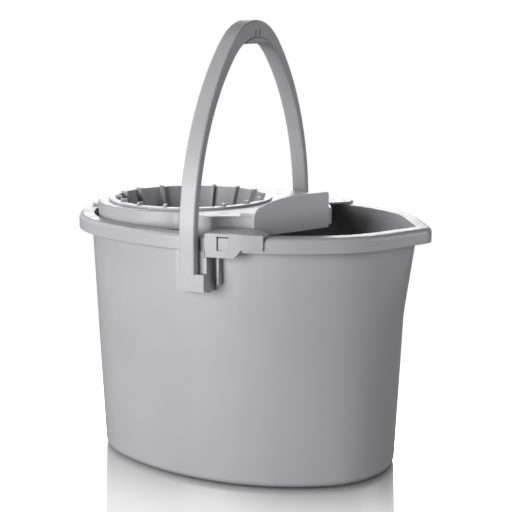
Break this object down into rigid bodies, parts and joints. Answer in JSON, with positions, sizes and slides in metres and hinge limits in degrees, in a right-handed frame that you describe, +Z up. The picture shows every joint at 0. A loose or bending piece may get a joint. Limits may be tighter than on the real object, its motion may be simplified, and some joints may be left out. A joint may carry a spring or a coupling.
{
  "type": "mop bucket with wringer",
  "caption": "Oval mop bucket with a pouring spout, a tall folding carry handle and a lift-out wringer: a ribbed cone basket in a raised deck that clips over the rim.",
  "frame": {"origin": "centre of the bounding box at floor level, under the bucket's foot", "axes": "+Z up, +X towards the pouring spout, +Y across to the side away from the guard plate"},
  "size_m": [0.4034, 0.304, 0.48],
  "materials": {
    "bucket_plastic": "satin moulded polypropylene, silver grey",
    "handle_plastic": "satin moulded polypropylene, silver grey",
    "wringer_plastic": "satin moulded polypropylene, silver grey"
  },
  "bodies": {
    "bucket": {"bucket": "bucket_plastic"},
    "handle": {"bail_handle": "handle_plastic", "handle_grip": "handle_plastic"},
    "wringer": {"wringer_frame": "wringer_plastic", "wringer_basket": "wringer_plastic", "front_guard": "wringer_plastic"},
    "near_latch": {"near_latch": "wringer_plastic"},
    "far_latch": {"far_latch": "wringer_plastic"}
  },
  "joints": [
    {"name": "handle_fold", "type": "hinge", "parent": "bucket", "child": "handle", "pos_m": [-0.00675, 0, 0.2463], "axis": [0, -1, 0], "range_deg": [0, 78]},
    {"name": "wringer_lift", "type": "slide", "parent": "bucket", "child": "wringer", "axis": [0, 0, 1], "range_m": [0, 0.09]},
    {"name": "near_latch_flex", "type": "hinge", "parent": "wringer", "child": "near_latch", "pos_m": [0.0364, -0.1373, 0.2635], "axis": [0, 0, 1], "range_deg": [0, 12], "stiffness_Nm_per_rad": 0.01},
    {"name": "far_latch_flex", "type": "hinge", "parent": "wringer", "child": "far_latch", "pos_m": [0.0364, 0.1373, 0.2635], "axis": [0, 0, -1], "range_deg": [0, 12], "stiffness_Nm_per_rad": 0.01}
  ]
}
